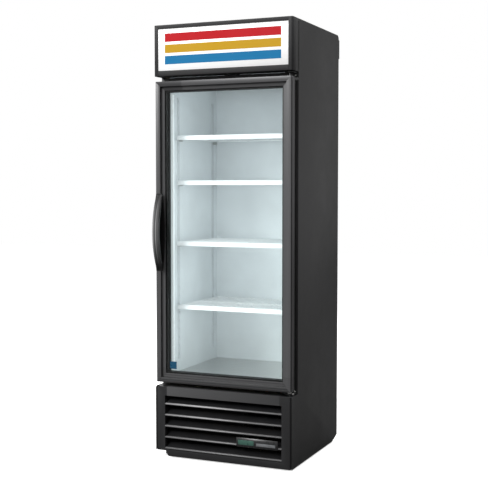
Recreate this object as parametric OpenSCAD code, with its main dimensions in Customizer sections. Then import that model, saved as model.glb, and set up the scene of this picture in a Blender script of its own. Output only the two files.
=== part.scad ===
// Upright one-door glass merchandiser: a bottom-mounted refrigeration unit,
// a foamed cabinet with wire shelves, a lit sign header and a swinging glass door.
// The origin is on the floor, below the middle of the whole object's footprint.
// +X is to the right, +Y to the back and +Z up. Inside the modules, Y is
// counted from the front plane of the header, door and grille.

/* [Cabinet] */
// Width over the side panels
cabinet_w = 680; // [640:1:720]
// Depth from the front plane to the back panel
cabinet_d = 632; // [600:1:680]
// Height of the header's top above the floor
cabinet_h = 1997; // [1980:1:2060]
// How far the header, door and grille stand in front of the cabinet
front_step = 75; // [72:1:80]
// Height of the side panels' lower edge above the floor
floor_gap = 8; // [8:1:12]
// Thickness of the painted sheet metal
sheet_t = 1.5; // [1:0.1:2]
// Thickness of the foam in the side walls
wall_foam_t = 37; // [30:1:45]
// Height of the machine compartment's top above the floor
machine_h = 334; // [325:1:340]

/* [Header] */
// Height of the header box
header_h = 231; // [220:1:240]
// Radius of the header's upright front corners
header_corner_r = 9; // [6:1:12]
// Width of the bezel beside the sign
bezel_side_w = 21; // [18:1:26]
// Height of the bezel above the sign
bezel_top_h = 18; // [14:1:24]
// Height of the bezel below the sign
bezel_bottom_h = 24; // [18:1:28]
// Length of the coloured bands on the sign
band_l = 570; // [480:5:590]
// Height of each coloured band
band_h = 38; // [30:1:42]

/* [Door] */
// Width of the door
door_w = 666; // [640:1:670]
// Height of the door
door_h = 1387.5; // [1370:0.5:1390]
// Depth of the door frame without its gasket
door_t = 58; // [54:1:58]
// Width of the door frame's outer face
door_face_w = 23; // [18:1:25]
// Width of the door frame from its edge to the edge of its lip
door_frame_w = 41; // [36:1:42]
// Width of the black border inside the door frame
glass_border_w = 7; // [6:1:12]
// Distance of the hinge axis from the door's edge
hinge_inset = 15; // [14:1:18]
// Depth of the hinge axis behind the front plane
hinge_depth = 28; // [26:1:30]

/* [Handle] */
// Length of the handle
handle_l = 356; // [300:1:380]
// Height of the handle's middle above the floor
handle_mid_z = 1051; // [950:1:1150]
// How far the handle stands out from the door
handle_out = 45; // [38:1:50]
// Width of the handle's grip
handle_w = 34; // [30:1:36]
// Thickness of the handle's grip
grip_t = 14; // [10:1:16]

/* [Grille] */
// Number of louvre blades
louvre_count = 5; // [3:1:5]
// Distance from one louvre to the next
louvre_pitch = 52; // [46:1:52]
// Height of the lowest louvre's lip above the floor
louvre_bottom = 44; // [44:1:48]
// Width of the posts beside the louvres
post_w = 44; // [38:1:48]

/* [Shelves] */
// Heights of the shelves' tops above the floor
shelf_tops = [1499, 1289, 1003, 703]; // [500:1:1600]
// Number of wires in one shelf
shelf_wires = 23; // [15:1:31]
// Height of the label strip on a shelf's front edge
label_h = 21; // [16:1:30]

/* [Hidden] */
$fn = 48;

// Play between parts that are slid or laid beside each other
play = 0.1;
// Radial play of a shaft or pin that turns in its bore
run_play = 0.05;
// Opening of the mitre between two bars of one ring
mitre_gap = 0.1;

half_w = cabinet_w / 2;
in_w = half_w - sheet_t;
corner_r = 20;
bumper_t = 10;
side_cut_y = 112;
notch_z = 33;
post_corner_r = 12;
front_y = handle_out - (handle_out + cabinet_d + bumper_t) / 2;

// Upper section
header_z = cabinet_h - header_h;
header_wall = 1.5;
bezel_t = 9;
sign_back = 3;
sign_t = 3;
sign_low = header_z + bezel_bottom_h;
sign_high = cabinet_h - bezel_top_h;
band_zs = [1939, 1888.5, 1837.5];
band_t = 0.3;

// Door
door_low = machine_h + 20;
door_high = door_low + door_h;
door_mid = (door_low + door_high) / 2;
lip_t = 16;
lip_front = 13;
pane_t = 4;
pane_gap = 12;
pane_u = 26;
glass_y = lip_t + play;
spacer_y = glass_y + pane_t;
inner_pane_y = spacer_y + pane_gap;
bead_y = inner_pane_y + pane_t;
gasket_u = 12;
gasket_w = 20;
gasket_back = front_step - 0.6;
hinge_x = door_w / 2 - hinge_inset;
pin_r = 5;
rod_r = 6;

// Food compartment, inside faces of the liner
liner_t = 1.2;
cav_x = half_w - wall_foam_t - sheet_t - 1.5;
cav_back = cabinet_d - 42;
cav_low = 380;
cav_high = 1925;
opening_x = 297;
opening_low = 392;
opening_high = 1703;
frame_t = 4;
flange_w = 18;

// Shelves
shelf_front = 125;
shelf_back = 570;
shelf_x = 286;
wire_r = 2.2;
rail_r = 3.6;
side_rail_r = 4.2;

// Machine compartment
rail_z = [10, 34];
tray_z = rail_z[1] + play;
tray_t = 1.5;
unit_z = tray_z + tray_t;
foot_xy = [[-287, 60], [287, 60], [-287, 480], [287, 480]];
foot_stud_r = 6;
coil_x = [-262, 58];
coil_y = [110, 150];
coil_h = 250;
fan_x = (coil_x[0] + coil_x[1]) / 2;
fan_z = unit_z + coil_h / 2;
fan_r = 108;
shroud_y = coil_y[1] + play;
fan_y = shroud_y + 26;
comp_x = 175;
comp_y = 420;
inlet_x = -285;
inlet_z = 52;
inlet_r = 9;

// Evaporator
evap_front = 120;
evap_low = 1745;
evap_fan_x = 0;
evap_fan_y = evap_front + 30;
evap_fan_z = 1835;
evap_fan_r = 68;
knob_x = -215;
switch_x = 215;

// ---- Shared shapes ----

// A box given by its low and high limits along each axis
module slab(x, y, z) {
    translate([x[0], front_y + y[0], z[0]])
        cube([x[1] - x[0], y[1] - y[0], z[1] - z[0]]);
}

module rod_x(x, y, z, r) {
    translate([x[0], front_y + y, z]) rotate([0, 90, 0]) cylinder(h = x[1] - x[0], r = r);
}

module rod_y(x, y, z, r) {
    translate([x, front_y + y[1], z]) rotate([90, 0, 0]) cylinder(h = y[1] - y[0], r = r);
}

module rod_z(x, y, z, r) {
    translate([x, front_y + y, z[0]]) cylinder(h = z[1] - z[0], r = r);
}

// An outline drawn in X and Z, made solid from y[0] to y[1]
module plate_y(y) {
    translate([0, front_y + y[1], 0]) rotate([90, 0, 0]) linear_extrude(y[1] - y[0]) children();
}

// An outline drawn in Y and Z, made solid from x[0] to x[1]
module plate_x(x) {
    translate([x[0], front_y, 0]) rotate([90, 0, 90]) linear_extrude(x[1] - x[0]) children();
}

// One mitred side of a rectangle w by h around the height mid. The side lies
// between u[0] and u[1] in from the rectangle's edge, and y[0] and y[1] deep.
module mitred_side(side, w, h, mid, u, y, gap = 0) {
    long = side == "top" || side == "bottom" ? w / 2 : h / 2;
    out = side == "top" || side == "bottom" ? h / 2 : w / 2;
    turn = side == "top" ? 0 : side == "left" ? 90 : side == "bottom" ? 180 : 270;
    plate_y(y)
        translate([0, mid])
            rotate(turn)
                polygon([
                    [-long + u[0] + gap, out - u[0]], [long - u[0] - gap, out - u[0]],
                    [long - u[1] - gap, out - u[1]], [-long + u[1] + gap, out - u[1]]]);
}

// Four mitred sides that leave the middle open
module mitred_ring(w, h, mid, u, y) {
    for (side = ["top", "left", "bottom", "right"])
        mitred_side(side, w, h, mid, u, y, mitre_gap);
}

module mirrored_x() {
    children();
    mirror([1, 0, 0]) children();
}

// ---- Cabinet shell ----

// Outline of a side panel in Y and Z: the foot of the panel reaches forward
// under the door, its lower rear corner is cut up and its top corner is round
module side_outline() {
    nose_y = 2;
    polygon([
        [nose_y, floor_gap], [556, floor_gap], [cabinet_d, 30],
        [cabinet_d, cabinet_h - corner_r], [cabinet_d - corner_r, cabinet_h - corner_r],
        [cabinet_d - corner_r, cabinet_h], [front_step, cabinet_h],
        [front_step, machine_h], [nose_y, machine_h]]);
    translate([cabinet_d - corner_r, cabinet_h - corner_r]) circle(corner_r);
}

// Right-hand side panel: outer sheet, front return and lower return
module side_panel() {
    plate_x([in_w, half_w]) side_outline();
    slab([half_w - flange_w, in_w], [front_step, front_step + sheet_t],
         [machine_h, cabinet_h - corner_r]);
    slab([in_w - 22, in_w], [side_cut_y + 5, 450], [floor_gap, floor_gap + sheet_t]);
}

module side_panel_right() {
    color("#303030") side_panel();
}

// The left-hand panel is cut up at its lower front corner and round at its nose
module side_panel_left() {
    r = post_corner_r;
    x = [-half_w - 1, -half_w + 30];
    color("#303030") difference() {
        mirror([1, 0, 0]) side_panel();
        slab(x, [-1, side_cut_y], [0, notch_z]);
        difference() {
            slab(x, [-1, 2 + r], [machine_h - r, machine_h + 1]);
            rod_x([x[0] - 1, x[1] + 1], 2 + r, machine_h - r, r);
        }
    }
}

// Top sheet with its round rear edge
module top_panel() {
    bend_y = cabinet_d - corner_r;
    bend_z = cabinet_h - corner_r;
    color("#303030") plate_x([-in_w, in_w]) {
        translate([front_step, cabinet_h - sheet_t]) square([bend_y - front_step, sheet_t]);
        intersection() {
            difference() {
                translate([bend_y, bend_z]) circle(corner_r);
                translate([bend_y, bend_z]) circle(corner_r - sheet_t);
            }
            translate([bend_y, bend_z]) square(corner_r);
        }
    }
}

module back_panel() {
    color("#8c9094")
        slab([-in_w, in_w], [cabinet_d - sheet_t, cabinet_d], [machine_h, cabinet_h - corner_r]);
}

// Foam between the outer shell and the liner, open at the front
module foam_insulation() {
    far = 20;
    color("#e6d9a8") difference() {
        slab([-in_w + play, in_w - play], [front_step + frame_t + play, cabinet_d - sheet_t - play],
             [machine_h + sheet_t, cabinet_h - corner_r]);
        slab([-cav_x - liner_t - play, cav_x + liner_t + play],
             [front_step - far, cav_back + liner_t + play],
             [cav_low - liner_t - play, cav_high + liner_t + play]);
    }
}

// Liner of the food compartment: two sides, a back and a ceiling
module inner_liner() {
    y = [front_step + frame_t + play, cav_back];
    z = [cav_low, cav_high];
    color("#f2f3f2") {
        mirrored_x() slab([cav_x, cav_x + liner_t], y, z);
        slab([-cav_x, cav_x], [cav_back + play, cav_back + liner_t], z);
        slab([-cav_x, cav_x], y, [cav_high, cav_high + liner_t]);
    }
}

// Stainless floor of the food compartment, with a low curb at the door
module cabinet_floor() {
    curb_h = 11;
    color("#c9cccf") {
        slab([-cav_x + play, cav_x - play], [front_step + frame_t + play, cav_back - play],
             [cav_low - liner_t, cav_low]);
        slab([-opening_x, opening_x], [front_step + frame_t + play, front_step + frame_t + 8],
             [cav_low, cav_low + curb_h]);
    }
}

// Black thermal-break strips around the compartment's opening
module front_frame() {
    out_x = half_w - flange_w - play;
    low = machine_h + 2;
    high = header_z - 2;
    y = [front_step, front_step + frame_t];
    color("#1c1c1c") {
        mirrored_x() slab([opening_x, out_x], y, [low, high]);
        slab([-opening_x + mitre_gap, opening_x - mitre_gap], y, [low, opening_low]);
        slab([-opening_x + mitre_gap, opening_x - mitre_gap], y, [opening_high, high]);
    }
}

// ---- Header with its lit sign ----

module header_housing() {
    y = [bezel_t + play, front_step - play];
    back = [y[1] - header_wall, y[1]];
    inside = half_w - header_wall;
    color("#303030") {
        mirrored_x() slab([inside, half_w], y, [header_z, cabinet_h]);
        slab([-inside, inside], y, [cabinet_h - header_wall, cabinet_h]);
        slab([-inside, inside], y, [header_z, header_z + header_wall]);
        slab([-inside, inside], back, [header_z + header_wall, cabinet_h - header_wall]);
    }
}

// One upright bar of the bezel, with a round front corner and a seat for the sign
module bezel_side() {
    r = header_corner_r;
    in_x = half_w - bezel_side_w;
    translate([0, front_y, header_z]) linear_extrude(header_h) difference() {
        union() {
            translate([in_x, 0]) square([bezel_side_w - r, bezel_t]);
            translate([half_w - r, r]) square([r, max(bezel_t - r, 0.01)]);
            intersection() {
                translate([half_w - r, r]) circle(r);
                translate([half_w - r, 0]) square([r, bezel_t]);
            }
        }
        translate([in_x - 1, sign_back]) square([1 + 3.1, bezel_t]);
    }
}

module header_bezel() {
    in_x = half_w - bezel_side_w - mitre_gap;
    seat = 3.1;
    color("#262626") {
        mirrored_x() bezel_side();
        slab([-in_x, in_x], [0, sign_back], [header_z, sign_low]);
        slab([-in_x, in_x], [sign_back, bezel_t], [header_z, sign_low - seat]);
        slab([-in_x, in_x], [0, sign_back], [sign_high, cabinet_h]);
        slab([-in_x, in_x], [sign_back, bezel_t], [sign_high + seat, cabinet_h]);
    }
}

module sign_panel() {
    x = half_w - bezel_side_w + 3;
    color("#fbfbfb")
        slab([-x, x], [sign_back, sign_back + sign_t], [sign_low - 3, sign_high + 3]);
}

module sign_bands() {
    for (i = [0 : 2])
        color(["#d83a2a", "#e8b52c", "#2767a8"][i])
            slab([-band_l / 2, band_l / 2], [sign_back - band_t, sign_back],
                 [band_zs[i] - band_h / 2, band_zs[i] + band_h / 2]);
}

// Two lamp tubes, each between two holders on the header's back wall
module sign_lamps() {
    tube_y = 42;
    tube_x = 296;
    color("#f4f6ff") for (z = [1840, 1930]) {
        rod_x([-tube_x, tube_x], tube_y, z, 8);
        mirrored_x()
            slab([tube_x + play, tube_x + 12], [tube_y - 12, front_step - header_wall - play],
                 [z - 12, z + 12]);
    }
}

// ---- Door ----

// One side of the door frame: a raised outer face, a lip set back over the
// glass and a narrower rear part
module door_side(side) {
    rear_u = 6;
    rear_y = 48;
    pocket_u = pane_u - 1;
    mitred_side(side, door_w, door_h, door_mid, [0, door_face_w], [0, rear_y]);
    mitred_side(side, door_w, door_h, door_mid, [door_face_w, door_frame_w], [lip_front, lip_t]);
    mitred_side(side, door_w, door_h, door_mid, [door_face_w, pocket_u], [lip_front, rear_y]);
    mitred_side(side, door_w, door_h, door_mid, [rear_u, pocket_u], [rear_y, door_t]);
}

// Bores for the two hinge pins at the door's upper and lower right corners,
// and the upright channel in its right edge
module hinge_side_cuts() {
    channel_y = [3, 14];
    channel_d = 4;
    rod_z(hinge_x, hinge_depth, [door_high - 40, door_high + 1], pin_r);
    rod_z(hinge_x, hinge_depth, [door_low - 1, door_low + 60], rod_r);
    slab([door_w / 2 - channel_d, door_w / 2 + 1], channel_y, [door_low - 1, door_high + 1]);
}

module door_stile_left() {
    color("#2a2a2a") door_side("left");
}

module door_stile_right() {
    color("#2a2a2a") difference() {
        door_side("right");
        hinge_side_cuts();
    }
}

module door_rail_top() {
    color("#2a2a2a") difference() {
        door_side("top");
        hinge_side_cuts();
    }
}

module door_rail_bottom() {
    color("#2a2a2a") difference() {
        door_side("bottom");
        hinge_side_cuts();
    }
}

module glazing_bead() {
    u = [pane_u - 1 + play, door_frame_w + glass_border_w];
    color("#1c1c1c") mitred_ring(door_w, door_h, door_mid, u, [bead_y + play, door_t - 2]);
}

module pane(y) {
    x = door_w / 2 - pane_u;
    slab([-x, x], [y, y + pane_t], [door_low + pane_u, door_high - pane_u]);
}

module outer_pane() {
    color([0.8, 0.9, 0.92, 0.3]) pane(glass_y);
}

module inner_pane() {
    color([0.8, 0.9, 0.92, 0.3]) pane(inner_pane_y);
}

module pane_spacer() {
    color("#161616")
        mitred_ring(door_w, door_h, door_mid, [pane_u + 4, door_frame_w + glass_border_w],
                    [spacer_y, inner_pane_y]);
}

// Magnetic gasket: a flat foot and a softer bulb that meets the front frame
module door_gasket() {
    foot_t = 5;
    color("#101010") {
        mitred_ring(door_w, door_h, door_mid, [gasket_u, gasket_u + gasket_w],
                    [door_t, gasket_back]);
        mitred_ring(door_w, door_h, door_mid, [gasket_u + gasket_w, gasket_u + gasket_w + 6],
                    [door_t, door_t + foot_t]);
    }
}

// Bowed pull: a curved grip, a closed outer wall and a thin lens-shaped base.
// The finger space opens towards the middle of the door.
module door_handle() {
    half_l = handle_l / 2;
    bow_r = (half_l * half_l + handle_out * handle_out) / (2 * handle_out);
    bow_y = bow_r - handle_out;
    left = -door_w / 2 + 1;
    base_t = 3;
    base_out = 12;
    base_r = (half_l * half_l + base_out * base_out) / (2 * base_out);
    $fn = 96;
    color("#202020") {
        plate_x([left, left + handle_w]) intersection() {
            difference() {
                translate([bow_y, handle_mid_z]) circle(bow_r);
                translate([bow_y, handle_mid_z]) circle(bow_r - grip_t);
            }
            translate([-handle_out - 1, handle_mid_z - half_l]) square([handle_out + 1, handle_l]);
        }
        plate_x([left, left + 4]) intersection() {
            translate([bow_y, handle_mid_z]) circle(bow_r - 1);
            translate([-handle_out, handle_mid_z - half_l]) square([handle_out, handle_l]);
        }
        plate_y([-base_t, 0]) intersection() {
            union() {
                translate([left, handle_mid_z - half_l]) square([handle_w - 4, handle_l]);
                translate([left + handle_w + base_out - base_r, handle_mid_z]) circle(base_r);
            }
            translate([left, handle_mid_z - half_l]) square([handle_w + base_out + 1, handle_l]);
        }
    }
}

// Screw heads on the handle's base, inside the finger space
module handle_screws() {
    x = -door_w / 2 + 12;
    color("#9a9a9a") for (side = [-1, 1]) {
        z = handle_mid_z + side * 120;
        rod_y(x, [-7, -3], z, 7);
    }
}

module glass_decal() {
    color("#2b6cb0") slab([-271, -237], [glass_y - 0.3, glass_y], [417, 451]);
}

// Upper hinge pin, and the lower torsion rod with its collar
module hinge_pins() {
    color("#c4c7ca") {
        rod_z(hinge_x, hinge_depth, [door_high - 38, header_z - 3], pin_r);
        rod_z(hinge_x, hinge_depth, [machine_h + 3, door_low + 58], rod_r);
        rod_z(hinge_x, hinge_depth, [machine_h + 11.5, door_low], rod_r + 4);
    }
}

// A hinge plate with a round nose that carries a pin, and an upright foot
// that is bolted to the cabinet's front between the heights foot_z
module hinge_plate(z, foot_z, bore_r) {
    x = [hinge_x - 26, hinge_x + 16];
    foot_t = 4;
    difference() {
        union() {
            slab(x, [hinge_depth, front_step], z);
            rod_z(hinge_x, hinge_depth, z, 14);
            slab(x, [front_step - foot_t, front_step], foot_z);
        }
        rod_z(hinge_x, hinge_depth, [z[0] - 1, z[1] + 1], bore_r);
    }
}

module hinge_bracket_top() {
    color("#3a3a3a")
        hinge_plate([header_z - 8, header_z - 2], [door_high + 2, header_z - 2], pin_r + run_play);
}

module hinge_bracket_bottom() {
    color("#b9bcbf")
        hinge_plate([machine_h + 5, machine_h + 11], [machine_h, door_low - 2], rod_r + run_play);
}

// ---- Front grille ----

// Upright post of the grille frame: a face, an inner return and a round
// outer corner
module grille_post(z) {
    post_x = half_w - 5;
    in_x = post_x - post_w;
    r = 8;
    t = 2.5;
    deep = 30;
    translate([0, front_y, z[0]]) linear_extrude(z[1] - z[0]) {
        translate([in_x, 0]) square([post_w - r, t]);
        translate([in_x, 0]) square([t, deep]);
        translate([post_x - t, r]) square([t, deep - r]);
        intersection() {
            difference() {
                translate([post_x - r, r]) circle(r);
                translate([post_x - r, r]) circle(r - t);
            }
            translate([post_x - r, 0]) square([r, r]);
        }
    }
}

// Frame around the louvres: two posts, of which the left one ends higher, an
// upper band, a lower lip with a round left corner and the ledge under the door
module grille_frame() {
    post_x = half_w - 5;
    in_x = post_x - post_w;
    t = 2.5;
    lip_r = 14;
    lip_x = -in_x + 10;
    band_low = machine_h - 42;
    lip_top = louvre_bottom - 5;
    lip_return = 25;
    top = machine_h - 2;
    round_x = -post_x + post_corner_r;
    color("#2e2e2e") {
        grille_post([floor_gap, top]);
        difference() {
            mirror([1, 0, 0]) grille_post([notch_z, top]);
            difference() {
                slab([-post_x - 1, round_x], [-1, 40], [top - post_corner_r, top + 1]);
                rod_y(round_x, [-2, 41], top - post_corner_r, post_corner_r);
            }
        }
        slab([-in_x, in_x], [0, t], [band_low, top]);
        slab([lip_x + lip_r, in_x], [0, t], [floor_gap, lip_top]);
        slab([-in_x, lip_x + lip_r], [0, t], [notch_z, lip_top]);
        slab([-in_x, in_x], [0, lip_return], [lip_top - t, lip_top]);
        slab([lip_x, lip_x + lip_r], [0, t], [floor_gap + lip_r, notch_z]);
        rod_y(lip_x + lip_r, [0, t], floor_gap + lip_r, lip_r);
        slab([round_x, post_x], [0, 10], [top, machine_h]);
        slab([round_x, in_w - play], [t, front_step - play], [top, machine_h]);
        slab([-in_w + play, round_x], [16, front_step - play], [top, machine_h]);
    }
}

// Louvre blades that slope up to the back, each with a rolled lip
module grille_louvers() {
    in_x = half_w - 5 - post_w - play;
    lip_r = 4.5;
    tilt = 38;
    blade_l = 44;
    color("#383838") for (i = [0 : louvre_count - 1]) {
        z = louvre_bottom + i * louvre_pitch;
        rod_x([-in_x, in_x], lip_r, z, lip_r);
        translate([-in_x, front_y + lip_r, z])
            rotate([tilt, 0, 0])
                translate([0, 0, -1.2]) cube([2 * in_x, blade_l, 2.4]);
    }
}

// Plain plate clipped over two louvre lips
module nameplate() {
    low = louvre_bottom + louvre_pitch - 6;
    color("#1a1a1a") slab([73, 274], [-2.5, 0], [low, low + 42]);
}

// ---- Machine compartment ----

module base_rails() {
    x = [half_w - 70, half_w - 36];
    y = [32, 496];
    color("#7d8286") {
        difference() {
            mirrored_x() slab(x, y, rail_z);
            for (p = foot_xy)
                rod_z(p[0], p[1], [rail_z[0] - 1, rail_z[1] + 1], foot_stud_r + run_play);
        }
        for (y0 = [200, 400])
            slab([-x[0] + play, x[0] - play], [y0, y0 + 30], [rail_z[0] + 4, rail_z[1]]);
    }
}

// Levelling foot: a round pad, a hexagon for the spanner that meets the base
// rail when the foot is screwed right in, and a stud
module foot(i) {
    pad_h = 5;
    hex_h = rail_z[0] - pad_h;
    p = foot_xy[i];
    color("#26282a") {
        rod_z(p[0], p[1], [0, pad_h], 19);
        translate([p[0], front_y + p[1], pad_h]) cylinder(h = hex_h, r = 14, $fn = 6);
        rod_z(p[0], p[1], [pad_h, rail_z[1] + 18], foot_stud_r);
    }
}

module foot_front_left() {
    foot(0);
}

module foot_front_right() {
    foot(1);
}

module foot_rear_left() {
    foot(2);
}

module foot_rear_right() {
    foot(3);
}

module base_tray() {
    x = half_w - 62;
    color("#303234") slab([-x, x], [62, cabinet_d - 4], [tray_z, tray_z + tray_t]);
}

// Hermetic compressor: a round shell with domed ends on a square foot
module compressor() {
    r = 82;
    low = unit_z + 14;
    side_h = 90;
    dome_h = 34;
    dome_r = (r * r + dome_h * dome_h) / (2 * dome_h);
    color("#1e1f21") translate([comp_x, front_y + comp_y, 0]) {
        translate([0, 0, low]) rotate_extrude() {
            square([r, side_h]);
            intersection() {
                translate([0, side_h + dome_h - dome_r]) circle(dome_r);
                translate([0, side_h]) square([r, dome_h]);
            }
        }
        translate([-90, -75, low - 4]) cube([180, 150, 4]);
        for (x = [-74, 74], y = [-60, 60])
            translate([x, y, unit_z]) cylinder(h = low - 4 - unit_z, r = 11);
        translate([r - 8, -30, low + 24]) cube([34, 60, 70]);
    }
}

// Fin block with tube bends at both ends
module condenser_coil() {
    color("#b3b7ba") {
        slab(coil_x, coil_y, [unit_z, unit_z + coil_h]);
        for (i = [0 : 4])
            for (x = [coil_x[0] - 9, coil_x[1]])
                slab([x, x + 9], [coil_y[0] + 14, coil_y[0] + 24],
                     [unit_z + 22 + i * 48, unit_z + 42 + i * 48]);
    }
}

module fan_shroud() {
    depth = 44;
    color("#8f9499") {
        difference() {
            slab(coil_x, [shroud_y, shroud_y + 2], [unit_z, unit_z + coil_h]);
            rod_y(fan_x, [shroud_y - 1, shroud_y + 3], fan_z, fan_r + 6);
        }
        difference() {
            rod_y(fan_x, [shroud_y + 2, shroud_y + depth], fan_z, fan_r + 8);
            rod_y(fan_x, [shroud_y + 1, shroud_y + depth + 1], fan_z, fan_r + 6);
        }
    }
}

// Axial fan blade set: a hub and pitched blades around a Y axis
module fan_blades(x, y, z, r, hub_r, count, chord, bore_r) {
    pitch_angle = 28;
    thick = 2;
    translate([x, front_y + y, z]) difference() {
        union() {
            rotate([90, 0, 0]) cylinder(h = 24, r = hub_r, center = true);
            for (i = [0 : count - 1])
                rotate([0, i * 360 / count, 0])
                    translate([(hub_r - 3 + r) / 2, 0, 0])
                        rotate([pitch_angle, 0, 0])
                            cube([r - hub_r + 1, thick, chord], center = true);
        }
        rotate([90, 0, 0]) cylinder(h = 40, r = bore_r, center = true);
    }
}

// Motor with its shaft in the blade hub, held by two arms
module fan_motor(x, y, z, r, shaft_y, arm_x, arm_z) {
    rod_y(x, y, z, r);
    rod_y(x, [shaft_y, y[0] + 1], z, 4);
    slab([x - arm_x, x + arm_x], [y[1] - 4, y[1]], [z - 8, z + 8]);
    slab([x - 8, x + 8], [y[1] - 4, y[1]], [arm_z, z]);
}

module condenser_fan_blade() {
    color("#c8ccd0") fan_blades(fan_x, fan_y, fan_z, fan_r, 24, 5, 62, 4 + run_play);
}

module condenser_fan_motor() {
    y = [fan_y + 22, fan_y + 84];
    color("#46484b") {
        fan_motor(fan_x, y, fan_z, 38, fan_y - 10, 60, unit_z);
        slab([fan_x - 40, fan_x + 40], [y[1] - 40, y[1]], [unit_z, unit_z + 3]);
    }
}

// Copper lines between the compressor, the condenser and the back wall
module refrigerant_tubes() {
    r = 4;
    shell_z = unit_z + 120;
    high_z = 300;
    color("#b8703a") {
        rod_z(comp_x - 50, comp_y, [shell_z, high_z + r], r);
        rod_y(comp_x - 50, [coil_y[1] - 20, comp_y], high_z, r);
        rod_x([coil_x[1] + 4, comp_x - 50], coil_y[1] - 20, high_z, r);
        rod_z(coil_x[1] + 4, coil_y[1] - 20, [unit_z + 234, high_z], r);
        rod_z(comp_x + 50, comp_y, [shell_z, high_z + r], r);
        rod_y(comp_x + 50, [comp_y, cabinet_d - 30], high_z, r);
        rod_z(comp_x + 50, cabinet_d - 30, [high_z, machine_h], r);
    }
}

// Slotted cover over the machine compartment's back, with a hole for the cord inlet
module rear_cover() {
    slots = 9;
    color("#8c9094") difference() {
        slab([-in_w, in_w], [cabinet_d - sheet_t, cabinet_d], [31, machine_h - play]);
        rod_y(inlet_x, [cabinet_d - 5, cabinet_d + 1], inlet_z, inlet_r + run_play);
        for (i = [0 : slots - 1])
            for (x = [-250, -60, 130])
                slab([x, x + 140], [cabinet_d - 5, cabinet_d + 1],
                     [80 + i * 24, 88 + i * 24]);
    }
}

// Bushing in the rear cover, through which the supply cord enters
module cord_inlet() {
    inner_y = cabinet_d - 8;
    outer_y = cabinet_d + 8;
    color("#151515") difference() {
        union() {
            rod_y(inlet_x, [inner_y, outer_y], inlet_z, inlet_r);
            rod_y(inlet_x, [cabinet_d, cabinet_d + 4], inlet_z, inlet_r + 4);
        }
        rod_y(inlet_x, [inner_y - 1, outer_y + 1], inlet_z, 4.5);
    }
}

module rear_bumpers() {
    color("#1a1a1a") mirrored_x()
        slab([half_w - 42, half_w], [cabinet_d, cabinet_d + bumper_t],
             [cabinet_h - 113, cabinet_h - corner_r]);
}

// ---- Evaporator ----

// Cover below the ceiling: a front with a round fan outlet, and a floor
module evaporator_cover() {
    x = cav_x - 1;
    color("#e8eaea") {
        difference() {
            slab([-x, x], [evap_front, evap_front + 2], [evap_low, cav_high - play]);
            rod_y(evap_fan_x, [evap_front - 1, evap_front + 3], evap_fan_z, evap_fan_r + 6);
        }
        slab([-x, x], [evap_front + 2 + play, cav_back - 60], [evap_low, evap_low + 2]);
    }
}

module evaporator_coil() {
    color("#c2c6c9") slab([-250, 250], [300, 430], [evap_low + 12, cav_high - 20]);
    color("#c2c6c9") mirrored_x()
        slab([200, 220], [300, 430], [evap_low + 2, evap_low + 12]);
}

module evaporator_fan_blade() {
    color("#2c2f33")
        fan_blades(evap_fan_x, evap_fan_y, evap_fan_z, evap_fan_r, 18, 5, 38, 3 + 1 + run_play);
}

module evaporator_fan_motor() {
    y = [evap_fan_y + 20, evap_fan_y + 66];
    color("#46484b")
        fan_motor(evap_fan_x, y, evap_fan_z, 26, evap_fan_y - 8, 48, evap_low + 2);
}

// Turning control for the temperature, with its shaft in the cover
module thermostat_knob() {
    color("#26282a") {
        rod_y(knob_x, [evap_front - 18, evap_front - 0.5], evap_fan_z, 18);
        slab([knob_x - 3, knob_x + 3], [evap_front - 24, evap_front - 17],
             [evap_fan_z - 17, evap_fan_z + 17]);
    }
}

// Rocker for the lamps, which tilts about its middle
module lamp_switch() {
    color("#26282a") plate_x([switch_x - 11, switch_x + 11])
        polygon([
            [evap_front - 7, evap_fan_z - 18], [evap_front - 5, evap_fan_z],
            [evap_front - 7, evap_fan_z + 18], [evap_front - 4.2, evap_fan_z + 18],
            [evap_front - 1.2, evap_fan_z + 4], [evap_front - 1.2, evap_fan_z - 4],
            [evap_front - 4.2, evap_fan_z - 18]]);
}

// ---- Shelves ----

pilaster_ys = [150, 530];
pilaster_t = 4;
pilaster_w = 18;

// Four slotted standards on the liner's sides
module shelf_pilasters() {
    z = [440, 1680];
    pitch = 40;
    color("#d5d8da") mirrored_x() for (y = pilaster_ys) difference() {
        slab([cav_x - pilaster_t, cav_x - play], [y, y + pilaster_w], z);
        for (i = [0 : floor((z[1] - z[0] - 30) / pitch)])
            slab([cav_x - pilaster_t - 1, cav_x + 1], [y + 6, y + 12],
                 [z[0] + 15 + i * pitch, z[0] + 29 + i * pitch]);
    }
}

// Coated wire shelf: wires from front to back on a rectangle of thicker rails
// with one more rail across its middle
module wire_shelf(top) {
    under_z = top - 2 * wire_r - rail_r + 1;
    rail_x = shelf_x - side_rail_r;
    rail_y = [shelf_front + 8, shelf_back - 8];
    span = 2 * (rail_x - 12);
    $fn = 16;
    color("#f4f5f4") {
        for (i = [0 : shelf_wires - 1])
            rod_y(-span / 2 + i * span / (shelf_wires - 1), [shelf_front, shelf_back],
                  top - wire_r, wire_r);
        for (y = [rail_y[0], (rail_y[0] + rail_y[1]) / 2, rail_y[1]])
            rod_x([-rail_x, rail_x], y, under_z, rail_r);
        mirrored_x()
            rod_y(rail_x, [rail_y[0] - side_rail_r, rail_y[1] + side_rail_r], under_z, side_rail_r);
    }
}

module shelf_1() {
    wire_shelf(shelf_tops[0]);
}

module shelf_2() {
    wire_shelf(shelf_tops[1]);
}

module shelf_3() {
    wire_shelf(shelf_tops[2]);
}

module shelf_4() {
    wire_shelf(shelf_tops[3]);
}

// Price rails on the shelves' front edges
module label_strips() {
    color("#ffffff") for (top = shelf_tops)
        slab([-shelf_x, shelf_x], [shelf_front - 3, shelf_front - play],
             [top - label_h + 1, top + 1]);
}

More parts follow.
